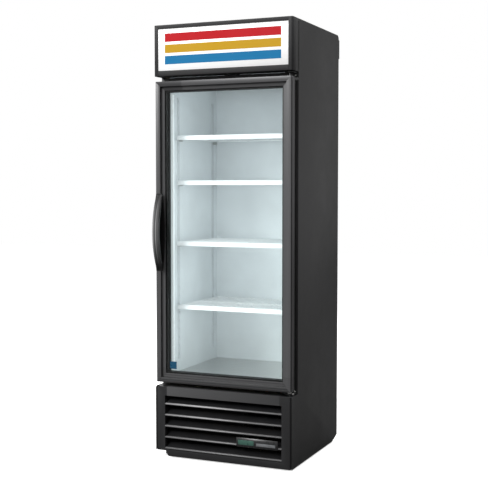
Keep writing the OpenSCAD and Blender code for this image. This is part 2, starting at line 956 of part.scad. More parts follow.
// Four clips under each shelf, against the standards
module shelf_clips() {
    under = 2 * wire_r + rail_r + side_rail_r - 1;
    color("#b9bdc0") for (top = shelf_tops) mirrored_x() for (y = pilaster_ys) {
        slab([shelf_x - 12, cav_x - pilaster_t - play], [y + 6.3, y + 11.7],
             [top - under - 14, top - under - play]);
    }
}

// Light strips upright in the compartment's front corners
module interior_lamps() {
    color("#ffffff") mirrored_x()
        slab([cav_x - 10, cav_x - play], [front_step + 12, front_step + 30], [430, 1690]);
}

side_panel_left();
side_panel_right();
top_panel();
back_panel();
foam_insulation();
inner_liner();
cabinet_floor();
front_frame();
header_housing();
header_bezel();
sign_panel();
sign_bands();
sign_lamps();
door_stile_left();
door_stile_right();
door_rail_top();
door_rail_bottom();
glazing_bead();
outer_pane();
inner_pane();
pane_spacer();
door_gasket();
door_handle();
handle_screws();
glass_decal();
hinge_pins();
hinge_bracket_top();
hinge_bracket_bottom();
grille_frame();
grille_louvers();
nameplate();
base_rails();
foot_front_left();
foot_front_right();
foot_rear_left();
foot_rear_right();
base_tray();
compressor();
condenser_coil();
fan_shroud();
condenser_fan_motor();
condenser_fan_blade();
refrigerant_tubes();
rear_cover();
cord_inlet();
evaporator_cover();
evaporator_coil();
evaporator_fan_motor();
evaporator_fan_blade();
shelf_pilasters();
shelf_1();
shelf_2();
shelf_3();
shelf_4();
label_strips();
shelf_clips();
interior_lamps();
rear_bumpers();
lamp_switch();
thermostat_knob();
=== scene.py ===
"""Looks of the glass door merchandiser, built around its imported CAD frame.

Lengths are metres in the row frame: +X right, +Y back, +Z up, the floor at Z = 0.
"""

import math

import bmesh
import bpy
from mathutils import Matrix, Vector


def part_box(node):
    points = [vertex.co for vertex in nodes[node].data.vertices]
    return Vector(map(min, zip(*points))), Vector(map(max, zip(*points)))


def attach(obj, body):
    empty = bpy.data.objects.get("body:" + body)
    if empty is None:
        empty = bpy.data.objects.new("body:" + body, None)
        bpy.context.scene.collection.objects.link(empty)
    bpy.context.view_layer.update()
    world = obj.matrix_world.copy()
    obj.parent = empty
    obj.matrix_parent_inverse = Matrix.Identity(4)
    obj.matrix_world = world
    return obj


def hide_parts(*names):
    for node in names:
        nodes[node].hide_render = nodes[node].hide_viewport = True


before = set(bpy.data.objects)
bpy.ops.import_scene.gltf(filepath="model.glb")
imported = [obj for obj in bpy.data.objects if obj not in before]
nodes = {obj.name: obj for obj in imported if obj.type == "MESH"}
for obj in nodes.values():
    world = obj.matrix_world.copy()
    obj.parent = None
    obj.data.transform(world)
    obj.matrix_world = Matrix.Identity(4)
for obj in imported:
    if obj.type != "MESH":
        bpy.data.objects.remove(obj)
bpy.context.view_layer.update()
MM = 0.001
# The front plane's Y, and the height of the pull's middle, in millimetres
FRONT_Y = -298.5
PULL_MIDDLE = 1051.0
# The lowest louvre lip's underside, the louvres' pitch and where the lips' painted highlight is brightest,
# in metres
LIP_LOW = 0.0395
LOUVRE_PITCH = 0.052
LIP_HIGHLIGHT_X = -0.13
# The door frame's fine ribs: the height they end at in metres, and their angle per metre in radians
RIBS_TOP = 0.42
RIB_RATE = 620.0


def at(x, y, z):
    """A point in millimetres, with Y counted from the front plane, in the row frame."""
    return Vector((x * MM, (y + FRONT_Y) * MM, z * MM))


# ---------------------------------------------------------------------------
# Materials
# ---------------------------------------------------------------------------


class Shader:
    """One material's node tree, with short calls for the nodes used below."""

    def __init__(self, name):
        self.mat = bpy.data.materials.new(name)
        self.mat.use_nodes = True
        self.tree = self.mat.node_tree
        self.bsdf = self.tree.nodes["Principled BSDF"]
        self.out = self.tree.nodes["Material Output"]
        self.place = self.tree.nodes.new("ShaderNodeTexCoord").outputs["Object"]

    def add(self, kind, **values):
        """A new node, with its properties set by name."""
        made = self.tree.nodes.new(kind)
        for key, value in values.items():
            setattr(made, key, value)
        return made

    def put(self, value, socket):
        """Links a socket, or sets a plain value."""
        if isinstance(value, bpy.types.NodeSocket):
            self.tree.links.new(value, socket)
        else:
            socket.default_value = value

    def stretched(self, scale):
        """The object's coordinates, scaled along each axis."""
        mapping = self.add("ShaderNodeMapping")
        self.put(self.place, mapping.inputs["Vector"])
        mapping.inputs["Scale"].default_value = scale
        return mapping.outputs["Vector"]

    def noise(self, scale, detail=4.0, rough=0.55, along=None):
        made = self.add("ShaderNodeTexNoise")
        self.put(along if along is not None else self.place, made.inputs["Vector"])
        made.inputs["Scale"].default_value = scale
        made.inputs["Detail"].default_value = detail
        made.inputs["Roughness"].default_value = rough
        return made.outputs["Fac"]

    def cells(self, scale, output="Distance"):
        made = self.add("ShaderNodeTexVoronoi", feature="F1")
        self.put(self.place, made.inputs["Vector"])
        made.inputs["Scale"].default_value = scale
        return made.outputs[output]

    def span(self, value, low, high, to_low, to_high):
        """value, carried from low..high to to_low..to_high and clamped."""
        made = self.add("ShaderNodeMapRange")
        self.put(value, made.inputs["Value"])
        for name, number in zip(("From Min", "From Max", "To Min", "To Max"), (low, high, to_low, to_high)):
            made.inputs[name].default_value = number
        return made.outputs["Result"]

    def math(self, operation, a, b=0.0):
        made = self.add("ShaderNodeMath", operation=operation)
        self.put(a, made.inputs[0])
        self.put(b, made.inputs[1])
        return made.outputs[0]

    def axis(self, name):
        """One of the object's own coordinates, in metres."""
        made = self.add("ShaderNodeSeparateXYZ")
        self.put(self.place, made.inputs[0])
        return made.outputs[name]

    def between(self, name, low, high):
        """1 where one of the object's own coordinates lies between two values in metres, else 0."""
        value = self.axis(name)
        above = self.math("GREATER_THAN", value, low)
        return self.math("MULTIPLY", above, self.math("LESS_THAN", value, high))

    def blend(self, factor, a, b):
        """A colour between a and b."""
        made = self.add("ShaderNodeMix", data_type="RGBA")
        self.put(factor, made.inputs["Factor"])
        for value, socket in ((a, made.inputs[6]), (b, made.inputs[7])):
            self.put(value if isinstance(value, bpy.types.NodeSocket) else (*value, 1.0), socket)
        return made.outputs[2]

    def colour(self, value):
        made = value if isinstance(value, bpy.types.NodeSocket) else (*value, 1.0)
        self.put(made, self.bsdf.inputs["Base Color"])

    def rough(self, value):
        self.put(value, self.bsdf.inputs["Roughness"])

    def bump(self, height, distance, strength=1.0):
        made = self.add("ShaderNodeBump")
        self.put(height, made.inputs["Height"])
        made.inputs["Distance"].default_value = distance
        made.inputs["Strength"].default_value = strength
        self.put(made.outputs["Normal"], self.bsdf.inputs["Normal"])

    def set(self, **values):
        """Plain values on the shader's own sockets, such as metallic=1."""
        for key, value in values.items():
            self.bsdf.inputs[key.replace("_", " ").title().replace("Ior", "IOR")].default_value = value


def shade_of(colour, factor):
    return tuple(min(1.0, c * factor) for c in colour)


def front(y):
    """A depth in millimetres behind the front plane, as the object's own Y in metres."""
    return (FRONT_Y + y) * MM


def baked(s, colour, rough, peel=0.00004):
    """Gives a shader baked paint's gloss and orange peel, and returns its faintly uneven colour."""
    patches = s.noise(5.0, 5.0, 0.6)
    s.rough(s.span(patches, 0.3, 0.75, rough - 0.05, rough + 0.06))
    s.bump(s.noise(700.0, 2.0, 0.5), peel)
    return s.blend(s.span(patches, 0.3, 0.7, 0.0, 1.0), shade_of(colour, 0.93), shade_of(colour, 1.07))


def painted(name, colour, rough, peel=0.00004):
    """Baked paint on sheet metal: a fine orange peel and faint handling marks."""
    s = Shader(name)
    s.colour(baked(s, colour, rough, peel))
    return s.mat


def moulded(name, colour, rough, grain=1600.0, depth=0.00003, level=0.5):
    """Moulded plastic with a spark-eroded grain."""
    s = Shader(name)
    pores = s.cells(grain)
    cloud = s.noise(12.0, 4.0)
    s.colour(s.blend(cloud, shade_of(colour, 0.9), shade_of(colour, 1.1)))
    s.rough(s.span(cloud, 0.3, 0.7, rough - 0.04, rough + 0.05))
    s.bump(pores, depth)
    s.set(specular_ior_level=level)
    return s.mat


def anodised(name, colour, rough, lengthwise):
    """Anodised extrusion with faint die lines along it; lengthwise is the stretch of the lines.

    Painted shade darkens the walls of its step and edge channel and the upper left stile; its low parts have
    fine ribs, both their colours darker than the face, partly as painted shade.
    """
    s = Shader(name)
    lines = s.noise(1.0, 3.0, 0.6, along=s.stretched(lengthwise))
    face = s.blend(lines, shade_of(colour, 0.88), shade_of(colour, 1.15))
    height = s.axis("Z")
    # Fine ribs low down, a pattern painted darker than the face as shade: full on the rails, a quarter as
    # strong on the stiles
    low = s.math("LESS_THAN", height, RIBS_TOP)
    stripes = s.math("GREATER_THAN", s.math("SINE", s.math("MULTIPLY", height, RIB_RATE)), 0.55)
    ribs = s.blend(stripes, shade_of(colour, 0.62), shade_of(colour, 0.3))
    face = s.blend(s.math("MULTIPLY", low, 1.0 if lengthwise == LEVEL else 0.25), face, ribs)
    # Painted shade on the left stile, growing towards the top
    at_left = s.math("LESS_THAN", s.axis("X"), -0.2)
    upper_left_shade = s.math("MULTIPLY", s.span(height, 0.7, 1.6, 0.0, 0.55), at_left)
    face = s.blend(upper_left_shade, face, shade_of(colour, 0.3))
    # Painted shade on the walls of the step and edge channel
    s.colour(s.blend(s.between("Y", front(2.0), front(12.7)), face, shade_of(colour, 0.12)))
    s.rough(s.span(lines, 0.3, 0.7, rough - 0.05, rough + 0.07))
    s.bump(lines, 0.00001)
    s.set(metallic=0.25)
    return s.mat


def side_sheet(name, colour, rough):
    """The shell's paint, with painted shade making it a little darker low down and under the top edge."""
    s = Shader(name)
    height = s.axis("Z")
    # Painted shade under the top edge
    upper = s.blend(s.span(height, 1.3, 2.0, 0.0, 1.0), baked(s, colour, rough), shade_of(colour, 0.42))
    # Painted shade low down
    s.colour(s.blend(s.span(height, 0.1, 1.1, 1.0, 0.0), upper, shade_of(colour, 0.5)))
    return s.mat


def grille_paint(name, colour, band, rough):
    """The grille frame's paint, with a painted highlight on the upper band between its posts, fading towards
    the right.
    """
    s = Shader(name)
    inner = s.math("MULTIPLY", s.between("X", -0.2805, 0.2805), s.between("Z", 0.28, 0.3425))
    # Painted highlight on the upper band, half as bright at the right end
    fading_highlight = s.blend(s.span(s.axis("X"), -0.28, 0.28, 0.0, 1.0), band, shade_of(band, 0.5))
    s.colour(s.blend(inner, baked(s, colour, rough), fading_highlight))
    return s.mat


def louvre_paint(name, blade, lip_highlight, faint_highlight, rough):
    """Black blades with a painted highlight on the upper half of their rolled lips, brightest at the left
    and fainter on the lower louvres.
    """
    s = Shader(name)
    mottle = s.noise(14.0, 4.0, 0.6)
    x, z = s.axis("X"), s.axis("Z")
    # Painted highlight on the lips: mottled, brightest at the left, fainter sideways and lower down
    away = s.math("ABSOLUTE", s.math("SUBTRACT", x, LIP_HIGHLIGHT_X))
    mottled_highlight = s.blend(mottle, shade_of(lip_highlight, 0.85), lip_highlight)
    highlight_across = s.blend(s.span(away, 0.02, 0.24, 0.0, 1.0), mottled_highlight, faint_highlight)
    edge = s.blend(s.span(z, 0.08, 0.28, 1.0, 0.0), highlight_across, faint_highlight)
    # Only the upper half of each lip's front carries the painted highlight
    on_lip = s.math("MODULO", s.math("SUBTRACT", z, LIP_LOW), LOUVRE_PITCH)
    upper = s.math("MULTIPLY", s.math("GREATER_THAN", on_lip, 0.0035), s.math("LESS_THAN", on_lip, 0.0095))
    s.colour(s.blend(s.math("MULTIPLY", upper, s.between("Y", front(-1.0), front(8.6))), blade, edge))
    s.rough(s.span(mottle, 0.3, 0.7, rough - 0.05, rough + 0.06))
    s.bump(s.noise(700.0, 2.0, 0.5), 0.00004)
    return s.mat


def grip(name, highlight, ends, rough):
    """The pull's black plastic, with a painted highlight on its ridges halfway up, black at its ends, and
    painted shade in its pocket.
    """
    s = Shader(name)
    pores = s.cells(1600.0)
    off = s.math("ABSOLUTE", s.math("SUBTRACT", s.axis("Z"), PULL_MIDDLE * MM))
    # Painted highlight: bright stripes along the pull's ridges, darker between them, fading to black towards
    # the ends
    ridge_highlight = s.math("MAXIMUM", s.between("X", -0.3325, -0.3235), s.between("X", -0.3155, -0.311))
    striped_highlight = s.blend(ridge_highlight, shade_of(highlight, 0.3), highlight)
    length = s.blend(s.span(off, 0.03, 0.15, 0.0, 1.0), striped_highlight, ends)
    # Painted shade in the pull's pocket
    pocket = s.span(s.axis("Y"), front(-16.0), front(-9.0), 0.0, 1.0)
    s.colour(s.blend(pocket, length, shade_of(ends, 0.3)))
    s.rough(s.span(s.noise(12.0, 4.0), 0.3, 0.7, rough - 0.04, rough + 0.05))
    s.bump(pores, 0.00002)
    s.set(specular_ior_level=0.25)
    return s.mat


def badge(name, ground, left, right):
    """A blank two-tone plate: a tinted field beside a pale bar."""
    s = Shader(name)
    cloud = s.noise(60.0, 4.0)
    field = s.math("MULTIPLY", s.between("X", 0.082, 0.158), s.between("Z", 0.1, 0.122))
    bar = s.math("MULTIPLY", s.between("X", 0.17, 0.262), s.between("Z", 0.1, 0.113))
    face = s.blend(s.math("MULTIPLY", field, s.span(cloud, 0.3, 0.7, 0.6, 1.0)), ground, left)
    s.colour(s.blend(s.math("MULTIPLY", bar, s.span(cloud, 0.3, 0.7, 0.5, 1.0)), face, right))
    s.rough(s.span(cloud, 0.3, 0.7, 0.24, 0.36))
    s.bump(s.noise(1500.0, 1.0), 0.000005)
    return s.mat


def hinge_plate(name, paint_colour, patch_colour):
    """Black paint, with a bright grey patch on the nose round the pin."""
    s = Shader(name)
    tarnish = s.noise(45.0, 5.0)
    nose_patch = s.math("MULTIPLY", s.between("X", 0.332, 0.345), s.between("Y", front(-5.0), front(40.0)))
    s.colour(s.blend(nose_patch, paint_colour, s.blend(tarnish, shade_of(patch_colour, 0.8), patch_colour)))
    s.rough(s.span(tarnish, 0.3, 0.7, 0.42, 0.3))
    s.bump(s.noise(900.0, 2.0), 0.00001)
    return s.mat


def rubber(name, colour):
    s = Shader(name)
    bloom = s.noise(30.0, 5.0)
    s.colour(s.blend(bloom, shade_of(colour, 0.8), shade_of(colour, 1.5)))
    s.rough(s.span(bloom, 0.3, 0.7, 0.6, 0.78))
    s.bump(s.noise(2200.0, 1.0), 0.00002)
    return s.mat


def galvanised(name, colour=(0.5, 0.51, 0.52)):
    """Zinc-coated sheet with its spangle."""
    s = Shader(name)
    spangle = s.cells(90.0, output="Color")
    grey = s.add("ShaderNodeRGBToBW")
    s.put(spangle, grey.inputs[0])
    tone = grey.outputs[0]
    s.colour(s.blend(tone, shade_of(colour, 0.82), shade_of(colour, 1.16)))
    s.rough(s.span(tone, 0.0, 1.0, 0.3, 0.5))
    s.bump(s.noise(400.0, 3.0), 0.00001)
    s.set(metallic=0.85)
    return s.mat


def brushed(name, colour, stretch, rough=0.3):
    """Brushed stainless steel or aluminium; the grain runs along the least stretched axis."""
    s = Shader(name)
    grain = s.noise(1.0, 3.0, 0.65, along=s.stretched(stretch))
    s.colour(s.blend(grain, shade_of(colour, 0.86), shade_of(colour, 1.1)))
    s.rough(s.span(grain, 0.25, 0.75, rough - 0.08, rough + 0.12))
    s.bump(grain, 0.000015)
    s.set(metallic=1.0)
    return s.mat


def metal(name, colour, rough):
    """Plain metal with a faint tarnish."""
    s = Shader(name)
    tarnish = s.noise(45.0, 5.0)
    s.colour(s.blend(tarnish, shade_of(colour, 0.75), colour))
    s.rough(s.span(tarnish, 0.3, 0.7, rough + 0.12, rough - 0.04))
    s.bump(s.noise(900.0, 2.0), 0.00001)
    s.set(metallic=1.0)
    return s.mat


def two_ends(name, height, lower, upper):
    """Zinc plate below a height in metres, and black paint above it."""
    s = Shader(name)
    above = s.math("GREATER_THAN", s.axis("Z"), height)
    tarnish = s.noise(45.0, 5.0)
    plate = s.blend(tarnish, shade_of(lower, 0.75), lower)
    s.colour(s.blend(above, plate, upper))
    s.rough(s.span(tarnish, 0.3, 0.7, 0.4, 0.26))
    s.put(s.math("SUBTRACT", 1.0, above), s.bsdf.inputs["Metallic"])
    s.bump(s.noise(900.0, 2.0), 0.00001)
    return s.mat


def lit(name, colour, glow, strength, rough=0.3):
    """A translucent plastic that is lit from behind."""
    s = Shader(name)
    cloud = s.noise(9.0, 2.0)
    s.colour(s.blend(cloud, shade_of(colour, 0.97), colour))
    s.rough(s.span(cloud, 0.3, 0.7, rough - 0.04, rough + 0.04))
    s.bump(s.noise(1500.0, 1.0), 0.000005)
    s.bsdf.inputs["Emission Color"].default_value = (*glow, 1.0)
    s.bsdf.inputs["Emission Strength"].default_value = strength
    return s.mat


def printed_bands(name, strength):
    """The sign's three printed bands: red over gold over blue, told apart by height."""
    s = Shader(name)
    low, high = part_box("sign_bands")
    z = s.axis("Z")
    third = (high.z - low.z) / 3
    above_blue = s.math("GREATER_THAN", z, low.z + third)
    above_gold = s.math("GREATER_THAN", z, high.z - third)
    colour = s.blend(above_blue, (0.002, 0.135, 0.3), (0.44, 0.25, 0.008))
    colour = s.blend(above_gold, colour, (0.4, 0.003, 0.008))
    s.colour(colour)
    s.rough(s.span(s.noise(8.0, 2.0), 0.3, 0.7, 0.5, 0.6))
    s.bump(s.noise(1500.0, 1.0), 0.000005)
    s.put(colour, s.bsdf.inputs["Emission Color"])
    s.bsdf.inputs["Emission Strength"].default_value = strength
    s.set(specular_ior_level=0.15)
    return s.mat


def clear_glass(name, tint=(0.975, 0.99, 0.985)):
    """A thin pane: it lets light straight through and mirrors a little of it."""
    s = Shader(name)
    s.tree.nodes.remove(s.bsdf)
    through = s.add("ShaderNodeBsdfTransparent")
    through.inputs["Color"].default_value = (*tint, 1.0)
    mirror = s.add("ShaderNodeBsdfGlossy")
    s.put(s.span(s.noise(3.0, 2.0), 0.3, 0.7, 0.012, 0.03), mirror.inputs["Roughness"])
    slant = s.add("ShaderNodeLayerWeight")
    slant.inputs["Blend"].default_value = 0.5
    steep = s.math("MULTIPLY", s.math("POWER", slant.outputs["Facing"], 4.0), 0.45)
    both = s.add("ShaderNodeMixShader")
    s.put(s.math("ADD", steep, 0.025), both.inputs[0])
    s.put(through.outputs[0], both.inputs[1])
    s.put(mirror.outputs[0], both.inputs[2])
    s.put(both.outputs[0], s.out.inputs["Surface"])
    return s.mat


UPRIGHT = (900.0, 900.0, 4.0)
LEVEL = (4.0, 900.0, 900.0)

M = {
    "side_paint": side_sheet("side_paint", (0.052, 0.052, 0.053), 0.45),
    "header_paint": painted("header_paint", (0.03, 0.03, 0.031), 0.42),
    "bezel": moulded("bezel", (0.022, 0.022, 0.023), 0.6, level=0.25),
    "bead": moulded("bead_plastic", (0.005, 0.005, 0.005), 0.62, level=0.3),
    "frame_upright": anodised("frame_upright", (0.1, 0.1, 0.103), 0.36, UPRIGHT),
    "frame_level": anodised("frame_level", (0.085, 0.085, 0.088), 0.36, LEVEL),
    "frame_plastic": moulded("frame_plastic", (0.06, 0.06, 0.062), 0.42),
    "pilaster": painted("pilaster_paint", (0.62, 0.64, 0.66), 0.4),
    "black_plastic": moulded("black_plastic", (0.016, 0.016, 0.017), 0.42),
    # The pull's middle colour is a painted highlight over its black plastic
    "handle": grip("handle", (0.3, 0.3, 0.303), (0.014, 0.014, 0.015), 0.5),
    "rubber": rubber("gasket_rubber", (0.012, 0.012, 0.012)),
    # The grille's second colour is a painted highlight on its upper band
    "grille": grille_paint("grille_paint", (0.02, 0.02, 0.021), (0.085, 0.085, 0.087), 0.36),
    "galvanised": galvanised("galvanised"),
    "zinc": metal("zinc_plate", (0.62, 0.62, 0.6), 0.28),
    "pins": two_ends("hinge_pin_finish", 1.0, (0.62, 0.62, 0.6), (0.03, 0.03, 0.032)),
    "bracket": painted("bracket_paint", (0.02, 0.02, 0.021), 0.4),
    "lower_bracket": hinge_plate("lower_bracket_paint", (0.02, 0.02, 0.021), (0.7, 0.7, 0.68)),
    "badge": badge("badge_print", (0.02, 0.02, 0.021), (0.05, 0.13, 0.1), (0.24, 0.25, 0.26)),
    # The louvre lips' two bright colours are a painted highlight over the black blades
    "louvre": louvre_paint(
        "louvre_paint", (0.012, 0.012, 0.013), (0.46, 0.46, 0.465), (0.12, 0.12, 0.122), 0.34),
    "coil_black": painted("coil_paint", (0.008, 0.008, 0.008), 0.5),
    "fin_stock": brushed("fin_stock", (0.7, 0.72, 0.74), (700.0, 4.0, 700.0), 0.4),
    "stainless": brushed("stainless", (0.68, 0.68, 0.67), (3.0, 700.0, 700.0)),
    "aluminium": brushed("aluminium", (0.78, 0.79, 0.8), LEVEL, 0.35),
    "copper": metal("copper", (0.8, 0.38, 0.22), 0.25),
    "liner": painted("liner_paint", (0.74, 0.77, 0.79), 0.34, 0.00002),
    "shelf": moulded("shelf_coating", (0.84, 0.85, 0.86), 0.3),
    "label": moulded("label_rail", (0.72, 0.73, 0.74), 0.25),
    "foam": moulded("foam", (0.8, 0.7, 0.45), 0.8, 500.0, 0.0002),
    "sign": lit("sign_face", (0.95, 0.95, 0.95), (1.0, 0.99, 0.97), 0.12),
    "bands": printed_bands("sign_bands_print", 0.15),
    "lamp": lit("lamp_diffuser", (0.7, 0.72, 0.74), (0.95, 0.98, 1.0), 0.4),
    "sign_lamp": lit("sign_tube", (0.95, 0.96, 1.0), (1.0, 0.98, 0.95), 2.0),
    "glass": clear_glass("clear_glass"),
    "decal": moulded("decal_print", (0.008, 0.075, 0.15), 0.3),
    "gloss_black": painted("gloss_black", (0.012, 0.012, 0.013), 0.22, 0.00003),
    "motor": painted("motor_grey", (0.08, 0.08, 0.085), 0.5),
}


# ---------------------------------------------------------------------------
# Helpers for pieces
# ---------------------------------------------------------------------------


def paint(piece, material):
    piece.data.materials.clear()
    piece.data.materials.append(M[material])


def smooth(piece, angle=35.0):
    """Smooth shading that keeps edges sharper than the angle."""
    for face in piece.data.polygons:
        face.use_smooth = True
    modifier = piece.modifiers.new("edges", "EDGE_SPLIT")
    modifier.split_angle = math.radians(angle)


def dress(name, material, edge=0.0008, steps=2, angle=32.0):
    """Gives a CAD node its material, welded faces and softly rounded edges."""
    piece = nodes[name]
    paint(piece, material)
    if piece.data.has_custom_normals:
        piece.data.attributes.remove(piece.data.attributes["custom_normal"])
    weld = piece.modifiers.new("weld", "WELD")
    weld.merge_threshold = 0.00002
    if edge:
        bevel = piece.modifiers.new("round", "BEVEL")
        bevel.width = edge
        bevel.segments = steps
        bevel.limit_method = "ANGLE"
        bevel.angle_limit = math.radians(angle)
        bevel.use_clamp_overlap = True
        bevel.harden_normals = False
    smooth(piece, 40.0)
    return piece


def new_piece(name, build, material, body, stands_for=()):
    """A new mesh piece: build(bm) makes its mesh, and it rides on a body."""
    mesh = bpy.data.meshes.new(name)
    bm = bmesh.new()
    build(bm)
    bmesh.ops.recalc_face_normals(bm, faces=bm.faces)
    bm.to_mesh(mesh)
    bm.free()
    piece = bpy.data.objects.new(name, mesh)
    bpy.context.scene.collection.objects.link(piece)
    paint(piece, material)
    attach(piece, body)
    if stands_for:
        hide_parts(*stands_for)
    return piece


def add_block(bm, x, y, z):
    """A box given by its limits along each axis, in millimetres."""
    low, high = at(x[0], y[0], z[0]), at(x[1], y[1], z[1])
    size = high - low
    bmesh.ops.create_cube(
        bm, size=1.0, matrix=Matrix.Translation((low + high) / 2) @ Matrix.Diagonal((*size, 1.0)))


def add_rod(bm, start, end, radius, sides=16, end_radius=None):
    """A round bar between two points, all in millimetres."""
    start, end = at(*start), at(*end)
    turn = (end - start).to_track_quat("Z", "Y").to_matrix().to_4x4()
    bmesh.ops.create_cone(
        bm, cap_ends=True, segments=sides, radius1=radius * MM,
        radius2=(radius if end_radius is None else end_radius) * MM, depth=(end - start).length,
        matrix=Matrix.Translation((start + end) / 2) @ turn)


def add_loops(bm, loops, caps=True):
    """Skins a row of closed loops with equal counts; caps fill both ends."""
    rows = [[bm.verts.new(p) for p in loop] for loop in loops]
    count = len(rows[0])
    for a, b in zip(rows, rows[1:]):
        for i in range(count):
            j = (i + 1) % count
            bm.faces.new((a[i], a[j], b[j], b[i]))
    if caps:
        bm.faces.new(list(reversed(rows[0])))
        bm.faces.new(rows[-1])


def add_ring(bm, profile, half_width, low, high):
    """A mitred rectangular ring in millimetres: each profile point is (in from the edge, Y)."""
    loops = []
    for side, up in ((-1, 0), (1, 0), (1, 1), (-1, 1)):
        loops.append([at(side * (half_width - u), y, high - u if up else low + u) for u, y in profile])
    rows = [[bm.verts.new(p) for p in loop] for loop in loops]
    count = len(profile)
    for k in range(4):
        a, b = rows[k], rows[(k + 1) % 4]
        for i in range(count):
            j = (i + 1) % count
            bm.faces.new((a[i], a[j], b[j], b[i]))


def add_bent_rod(bm, points, radius, sides=10):
    """A round bar along points in millimetres."""
    path = [at(*p) for p in points]
    loops = []
    across = None
    for k, here in enumerate(path):
        along = (path[min(k + 1, len(path) - 1)] - path[max(k - 1, 0)]).normalized()
        if across is None:
            across = along.orthogonal().normalized()
        across = (across - along * across.dot(along)).normalized()
        other = along.cross(across)
        loops.append([
            here + (across * math.cos(t) + other * math.sin(t)) * radius * MM
            for t in (2 * math.pi * i / sides for i in range(sides))])
    add_loops(bm, loops)


def add_wire_ring(bm, centre, ring_radius, wire_radius, around=48):
    """A closed wire ring round a Y axis, in millimetres."""
    loops = []
    for k in range(around):
        a = 2 * math.pi * k / around
        loop = []
        for m in range(8):
            b = 2 * math.pi * m / 8
            reach = ring_radius + wire_radius * math.cos(b)
            loop.append(at(centre[0] + reach * math.cos(a), centre[1] + wire_radius * math.sin(b),
                           centre[2] + reach * math.sin(a)))
        loops.append(loop)
    rows = [[bm.verts.new(p) for p in loop] for loop in loops]
    for k in range(around):
        a, b = rows[k], rows[(k + 1) % around]
        for i in range(8):
            j = (i + 1) % 8
            bm.faces.new((a[i], a[j], b[j], b[i]))


def add_screw(bm, x, y, z, radius, height):
    """A pan-head screw's head in millimetres; height is signed along Y."""
    profile = ((0.0, 1.0), (0.35, 0.98), (0.7, 0.82), (1.0, 0.45))
    for (h0, r0), (h1, r1) in zip(profile, profile[1:]):
        add_rod(bm, (x, y + height * h0, z), (x, y + height * h1, z), radius * r0, 14, radius * r1)


# ---------------------------------------------------------------------------
# CAD nodes that keep their shape
# ---------------------------------------------------------------------------

KEPT = {
    "side_panel_left": ("side_paint", 0.0006), "side_panel_right": ("side_paint", 0.0006),
    "top_panel": ("side_paint", 0.0004), "back_panel": ("galvanised", 0.0004),
    "rear_cover": ("galvanised", 0.0003), "rear_bumpers": ("black_plastic", 0.003),
    "foam_insulation": ("foam", 0.0), "inner_liner": ("liner", 0.0),
    "cabinet_floor": ("stainless", 0.0004), "front_frame": ("frame_plastic", 0.0008),
    "header_housing": ("header_paint", 0.0004), "header_bezel": ("bezel", 0.0012),
    "sign_panel": ("sign", 0.0005), "sign_bands": ("bands", 0.0), "sign_lamps": ("sign_lamp", 0.001),
    "door_stile_left": ("frame_upright", 0.0012), "door_stile_right": ("frame_upright", 0.0012),
    "door_rail_top": ("frame_level", 0.0012), "door_rail_bottom": ("frame_level", 0.0012),
    "glazing_bead": ("bead", 0.0015), "outer_pane": ("glass", 0.0), "inner_pane": ("glass", 0.0),
    "pane_spacer": ("bead", 0.0), "glass_decal": ("decal", 0.0),
    "handle_screws": ("zinc", 0.0008), "hinge_pins": ("pins", 0.0005),
    "hinge_bracket_top": ("bracket", 0.0008), "hinge_bracket_bottom": ("lower_bracket", 0.0008),
    "grille_frame": ("grille", 0.0009), "nameplate": ("badge", 0.001),
    "base_rails": ("motor", 0.0008), "base_tray": ("motor", 0.0003),
    "foot_front_left": ("motor", 0.0008), "foot_front_right": ("motor", 0.0008),
    "foot_rear_left": ("motor", 0.0008), "foot_rear_right": ("motor", 0.0008),
    "compressor": ("gloss_black", 0.003), "fan_shroud": ("motor", 0.0004),
    "condenser_fan_motor": ("motor", 0.001), "condenser_fan_blade": ("aluminium", 0.0003),
    "refrigerant_tubes": ("copper", 0.0), "cord_inlet": ("black_plastic", 0.001),
    "evaporator_cover": ("liner", 0.0005), "evaporator_fan_motor": ("motor", 0.001),
    "evaporator_fan_blade": ("black_plastic", 0.0003), "shelf_pilasters": ("pilaster", 0.0),
    "shelf_clips": ("zinc", 0.0008), "interior_lamps": ("lamp", 0.003),
    "lamp_switch": ("black_plastic", 0.0008),
    "shelf_1": ("shelf", 0.0), "shelf_2": ("shelf", 0.0),
    "shelf_3": ("shelf", 0.0), "shelf_4": ("shelf", 0.0),
    "label_strips": ("label", 0.0008), "grille_louvers": ("louvre", 0.0005),
    "thermostat_knob": ("black_plastic", 0.001),
}
for name, (material, edge) in KEPT.items():
    dress(name, material, edge)


# ---------------------------------------------------------------------------
# Finer pieces
# ---------------------------------------------------------------------------


def build_handle(bm):
    """The bowed pull: a rounded grip with a centre groove, an outer wall and a lens-shaped base."""
    half, out, mid = 178.0, 45.0, PULL_MIDDLE
    left, right = -332.0, -298.0
    bow = (half * half + out * out) / (2 * out)
    centre = (left + right) / 2
    loops = []
    steps = 72
    for i in range(steps + 1):
        z = -half + 2 * half * i / steps
        deep = max(math.sqrt(bow * bow - z * z) - (bow - out), 3.4)
        k = min(1.0, deep / 12.0)
        pocket = max(deep - 14.0, 2.6)
        base = right + 0.2 + 12.0 * (1 - (z / half) ** 2)
        section = [
            (left, 0), (left, -deep + 5 * k), (left + 1.6 * k, -deep + 1.6 * k), (left + 5 * k, -deep),
            (centre - 2.6, -deep), (centre - 1.4, -deep + 1.6 * k), (centre + 1.4, -deep + 1.6 * k),
            (centre + 2.6, -deep), (right - 6 * k, -deep), (right - 1.8 * k, -deep + 1.8 * k),
            (right, -deep + 6 * k), (right, -pocket), (right - 3, -pocket + 0.05), (left + 6, -pocket + 0.1),
            (left + 5, -2.4), (base - 2, -2.3), (base, -1), (base, 0)]
        loops.append([at(x, y, mid + z) for x, y in section])
    add_loops(bm, loops)


